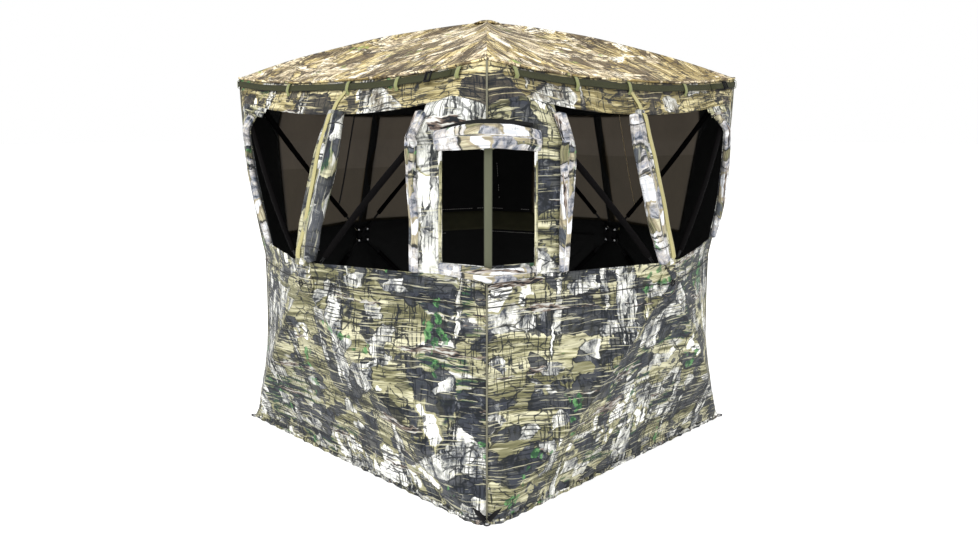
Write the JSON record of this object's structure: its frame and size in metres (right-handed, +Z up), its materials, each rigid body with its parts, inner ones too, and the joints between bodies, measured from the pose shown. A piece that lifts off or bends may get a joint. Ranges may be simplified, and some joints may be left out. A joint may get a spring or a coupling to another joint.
{
  "type": "pop up ground blind",
  "caption": "Square hub-style pop up ground blind with pull-out wall and roof hubs, crossed rods, camouflage skin, open windows, a corner window with rolled flaps and a low zipped door.",
  "frame": {"origin": "on the ground, under the roof hub, at the middle of the square footprint", "axes": "+Z up; the front wall faces -Y and the right wall faces +X; the corner window wraps the corner between them"},
  "size_m": [1.9556, 1.9556, 1.7949],
  "materials": {
    "camo_wall": "matte printed woven camouflage polyester, black coated inside",
    "camo_roof": "matte printed woven camouflage polyester, lighter from above, black coated inside",
    "window_mesh": "one-way shoot-through mesh, brown grey",
    "webbing_olive": "woven olive webbing",
    "webbing_tan": "woven pale yellow-olive tape",
    "zip_tape": "dark zip tape with a moulded coil",
    "cord_black": "braided black cord",
    "rod_fibreglass": "satin black fibreglass rod",
    "hub_plastic": "matte black moulded nylon"
  },
  "bodies": {
    "root": {"roof_canopy": "camo_roof", "valance_band": "camo_wall", "lower_wall_front": "camo_wall", "lower_wall_right": "camo_wall", "lower_wall_back": "camo_wall", "lower_wall_left": "camo_wall", "corner_panel_front_right": "camo_wall", "corner_panel_back_right": "camo_wall", "corner_panel_back_left": "camo_wall", "corner_panel_front_left": "camo_wall", "centre_strip_front": "webbing_tan", "centre_strip_right": "webbing_tan", "centre_strip_back": "webbing_tan", "centre_strip_left": "webbing_tan", "window_mesh_back": "window_mesh", "window_mesh_left": "window_mesh", "cover_roll_front_centre": "camo_wall", "cover_roll_right_centre": "camo_wall", "cover_roll_front_corner": "camo_wall", "cover_roll_right_corner": "camo_wall", "corner_window_roll_top": "camo_wall", "corner_window_roll_bottom": "camo_wall", "corner_window_strap": "webbing_olive", "eave_strap_front": "webbing_olive", "eave_strap_right": "webbing_olive", "eave_strap_back": "webbing_olive", "eave_strap_left": "webbing_olive", "hub_cord": "cord_black"},
    "front_hub": {"hub_front": "hub_plastic", "hub_cap_front": "hub_plastic"},
    "front_rod_up_right": {"rod_front_up_right": "rod_fibreglass"},
    "front_rod_up_left": {"rod_front_up_left": "rod_fibreglass"},
    "front_rod_low_left": {"rod_front_low_left": "rod_fibreglass"},
    "front_rod_low_right": {"rod_front_low_right": "rod_fibreglass"},
    "right_hub": {"hub_right": "hub_plastic", "hub_cap_right": "hub_plastic"},
    "right_rod_up_right": {"rod_right_up_right": "rod_fibreglass"},
    "right_rod_up_left": {"rod_right_up_left": "rod_fibreglass"},
    "right_rod_low_left": {"rod_right_low_left": "rod_fibreglass"},
    "right_rod_low_right": {"rod_right_low_right": "rod_fibreglass"},
    "back_hub": {"hub_back": "hub_plastic", "hub_cap_back": "hub_plastic"},
    "back_rod_up_right": {"rod_back_up_right": "rod_fibreglass"},
    "back_rod_up_left": {"rod_back_up_left": "rod_fibreglass"},
    "back_rod_low_left": {"rod_back_low_left": "rod_fibreglass"},
    "back_rod_low_right": {"rod_back_low_right": "rod_fibreglass"},
    "left_hub": {"hub_left": "hub_plastic", "hub_cap_left": "hub_plastic"},
    "left_rod_up_right": {"rod_left_up_right": "rod_fibreglass"},
    "left_rod_up_left": {"rod_left_up_left": "rod_fibreglass"},
    "left_rod_low_left": {"rod_left_low_left": "rod_fibreglass"},
    "left_rod_low_right": {"rod_left_low_right": "rod_fibreglass"},
    "roof_hub": {"hub_roof": "hub_plastic", "hub_cap_roof": "hub_plastic"},
    "roof_rod_back_right": {"rod_roof_back_right": "rod_fibreglass"},
    "roof_rod_back_left": {"rod_roof_back_left": "rod_fibreglass"},
    "roof_rod_front_left": {"rod_roof_front_left": "rod_fibreglass"},
    "roof_rod_front_right": {"rod_roof_front_right": "rod_fibreglass"},
    "door_surround": {"door_zip_surround": "zip_tape"},
    "door": {"entry_door": "camo_wall"}
  },
  "joints": [
    {"name": "front_hub_pull", "type": "slide", "parent": "root", "child": "front_hub", "axis": [0, 1, 0], "range_m": [0, 0.374]},
    {"name": "front_rod_up_right_pin", "type": "hinge", "parent": "front_hub", "child": "front_rod_up_right", "pos_m": [0.02103, -0.941, 0.79639], "axis": [0.7131, 0, -0.7011], "range_deg": [0, 21.1]},
    {"name": "front_rod_up_left_pin", "type": "hinge", "parent": "front_hub", "child": "front_rod_up_left", "pos_m": [-0.02103, -0.941, 0.79639], "axis": [0.7131, 0, 0.7011], "range_deg": [0, 21.1]},
    {"name": "front_rod_low_left_pin", "type": "hinge", "parent": "front_hub", "child": "front_rod_low_left", "pos_m": [-0.02103, -0.941, 0.75361], "axis": [-0.7131, 0, 0.7011], "range_deg": [0, 21.1]},
    {"name": "front_rod_low_right_pin", "type": "hinge", "parent": "front_hub", "child": "front_rod_low_right", "pos_m": [0.02103, -0.941, 0.75361], "axis": [-0.7131, 0, -0.7011], "range_deg": [0, 21.1]},
    {"name": "right_hub_pull", "type": "slide", "parent": "root", "child": "right_hub", "axis": [-1, 0, 0], "range_m": [0, 0.374]},
    {"name": "right_rod_up_right_pin", "type": "hinge", "parent": "right_hub", "child": "right_rod_up_right", "pos_m": [0.941, 0.02103, 0.79639], "axis": [0, 0.7131, -0.7011], "range_deg": [0, 21.1]},
    {"name": "right_rod_up_left_pin", "type": "hinge", "parent": "right_hub", "child": "right_rod_up_left", "pos_m": [0.941, -0.02103, 0.79639], "axis": [0, 0.7131, 0.7011], "range_deg": [0, 21.1]},
    {"name": "right_rod_low_left_pin", "type": "hinge", "parent": "right_hub", "child": "right_rod_low_left", "pos_m": [0.941, -0.02103, 0.75361], "axis": [0, -0.7131, 0.7011], "range_deg": [0, 21.1]},
    {"name": "right_rod_low_right_pin", "type": "hinge", "parent": "right_hub", "child": "right_rod_low_right", "pos_m": [0.941, 0.02103, 0.75361], "axis": [0, -0.7131, -0.7011], "range_deg": [0, 21.1]},
    {"name": "back_hub_pull", "type": "slide", "parent": "root", "child": "back_hub", "axis": [0, -1, 0], "range_m": [0, 0.374]},
    {"name": "back_rod_up_right_pin", "type": "hinge", "parent": "back_hub", "child": "back_rod_up_right", "pos_m": [-0.02103, 0.941, 0.79639], "axis": [-0.7131, 0, -0.7011], "range_deg": [0, 21.1]},
    {"name": "back_rod_up_left_pin", "type": "hinge", "parent": "back_hub", "child": "back_rod_up_left", "pos_m": [0.02103, 0.941, 0.79639], "axis": [-0.7131, 0, 0.7011], "range_deg": [0, 21.1]},
    {"name": "back_rod_low_left_pin", "type": "hinge", "parent": "back_hub", "child": "back_rod_low_left", "pos_m": [0.02103, 0.941, 0.75361], "axis": [0.7131, 0, 0.7011], "range_deg": [0, 21.1]},
    {"name": "back_rod_low_right_pin", "type": "hinge", "parent": "back_hub", "child": "back_rod_low_right", "pos_m": [-0.02103, 0.941, 0.75361], "axis": [0.7131, 0, -0.7011], "range_deg": [0, 21.1]},
    {"name": "left_hub_pull", "type": "slide", "parent": "root", "child": "left_hub", "axis": [1, 0, 0], "range_m": [0, 0.374]},
    {"name": "left_rod_up_right_pin", "type": "hinge", "parent": "left_hub", "child": "left_rod_up_right", "pos_m": [-0.941, -0.02103, 0.79639], "axis": [0, -0.7131, -0.7011], "range_deg": [0, 21.1]},
    {"name": "left_rod_up_left_pin", "type": "hinge", "parent": "left_hub", "child": "left_rod_up_left", "pos_m": [-0.941, 0.02103, 0.79639], "axis": [0, -0.7131, 0.7011], "range_deg": [0, 21.1]},
    {"name": "left_rod_low_left_pin", "type": "hinge", "parent": "left_hub", "child": "left_rod_low_left", "pos_m": [-0.941, 0.02103, 0.75361], "axis": [0, 0.7131, 0.7011], "range_deg": [0, 21.1]},
    {"name": "left_rod_low_right_pin", "type": "hinge", "parent": "left_hub", "child": "left_rod_low_right", "pos_m": [-0.941, -0.02103, 0.75361], "axis": [0, 0.7131, -0.7011], "range_deg": [0, 21.1]},
    {"name": "roof_hub_pull", "type": "slide", "parent": "root", "child": "roof_hub", "axis": [0, 0, -1], "range_m": [0, 0.444]},
    {"name": "roof_rod_back_right_pin", "type": "hinge", "parent": "roof_hub", "child": "roof_rod_back_right", "pos_m": [0.02121, 0.02121, 1.764], "axis": [0.7071, -0.7071, 0], "range_deg": [0, 25.15]},
    {"name": "roof_rod_back_left_pin", "type": "hinge", "parent": "roof_hub", "child": "roof_rod_back_left", "pos_m": [-0.02121, 0.02121, 1.764], "axis": [0.7071, 0.7071, 0], "range_deg": [0, 25.15]},
    {"name": "roof_rod_front_left_pin", "type": "hinge", "parent": "roof_hub", "child": "roof_rod_front_left", "pos_m": [-0.02121, -0.02121, 1.764], "axis": [-0.7071, 0.7071, 0], "range_deg": [0, 25.15]},
    {"name": "roof_rod_front_right_pin", "type": "hinge", "parent": "roof_hub", "child": "roof_rod_front_right", "pos_m": [0.02121, -0.02121, 1.764], "axis": [-0.7071, -0.7071, 0], "range_deg": [0, 25.15]},
    {"name": "door_surround_fold", "type": "hinge", "parent": "root", "child": "door_surround", "pos_m": [-0.735, 0.742, 0.45], "axis": [0, 0, -1], "range_deg": [0, 26.94]},
    {"name": "door_hinge", "type": "hinge", "parent": "door_surround", "child": "door", "pos_m": [-0.66, 0.76597, 0.44], "axis": [0, -0.1123, 0.9937], "range_deg": [0, 90]}
  ],
  "couplings": [
    {"joint": "front_rod_up_right_pin", "follows": "front_hub_pull", "rad_per_m": 0.982},
    {"joint": "front_rod_up_left_pin", "follows": "front_hub_pull", "rad_per_m": 0.982},
    {"joint": "front_rod_low_left_pin", "follows": "front_hub_pull", "rad_per_m": 0.982},
    {"joint": "front_rod_low_right_pin", "follows": "front_hub_pull", "rad_per_m": 0.982},
    {"joint": "right_rod_up_right_pin", "follows": "right_hub_pull", "rad_per_m": 0.982},
    {"joint": "right_rod_up_left_pin", "follows": "right_hub_pull", "rad_per_m": 0.982},
    {"joint": "right_rod_low_left_pin", "follows": "right_hub_pull", "rad_per_m": 0.982},
    {"joint": "right_rod_low_right_pin", "follows": "right_hub_pull", "rad_per_m": 0.982},
    {"joint": "back_rod_up_right_pin", "follows": "back_hub_pull", "rad_per_m": 0.982},
    {"joint": "back_rod_up_left_pin", "follows": "back_hub_pull", "rad_per_m": 0.982},
    {"joint": "back_rod_low_left_pin", "follows": "back_hub_pull", "rad_per_m": 0.982},
    {"joint": "back_rod_low_right_pin", "follows": "back_hub_pull", "rad_per_m": 0.982},
    {"joint": "left_rod_up_right_pin", "follows": "left_hub_pull", "rad_per_m": 0.982},
    {"joint": "left_rod_up_left_pin", "follows": "left_hub_pull", "rad_per_m": 0.982},
    {"joint": "left_rod_low_left_pin", "follows": "left_hub_pull", "rad_per_m": 0.982},
    {"joint": "left_rod_low_right_pin", "follows": "left_hub_pull", "rad_per_m": 0.982},
    {"joint": "roof_rod_back_right_pin", "follows": "roof_hub_pull", "rad_per_m": 0.9863},
    {"joint": "roof_rod_back_left_pin", "follows": "roof_hub_pull", "rad_per_m": 0.9863},
    {"joint": "roof_rod_front_left_pin", "follows": "roof_hub_pull", "rad_per_m": 0.9863},
    {"joint": "roof_rod_front_right_pin", "follows": "roof_hub_pull", "rad_per_m": 0.9863},
    {"joint": "door_surround_fold", "follows": "back_hub_pull", "rad_per_m": 1.2544}
  ]
}
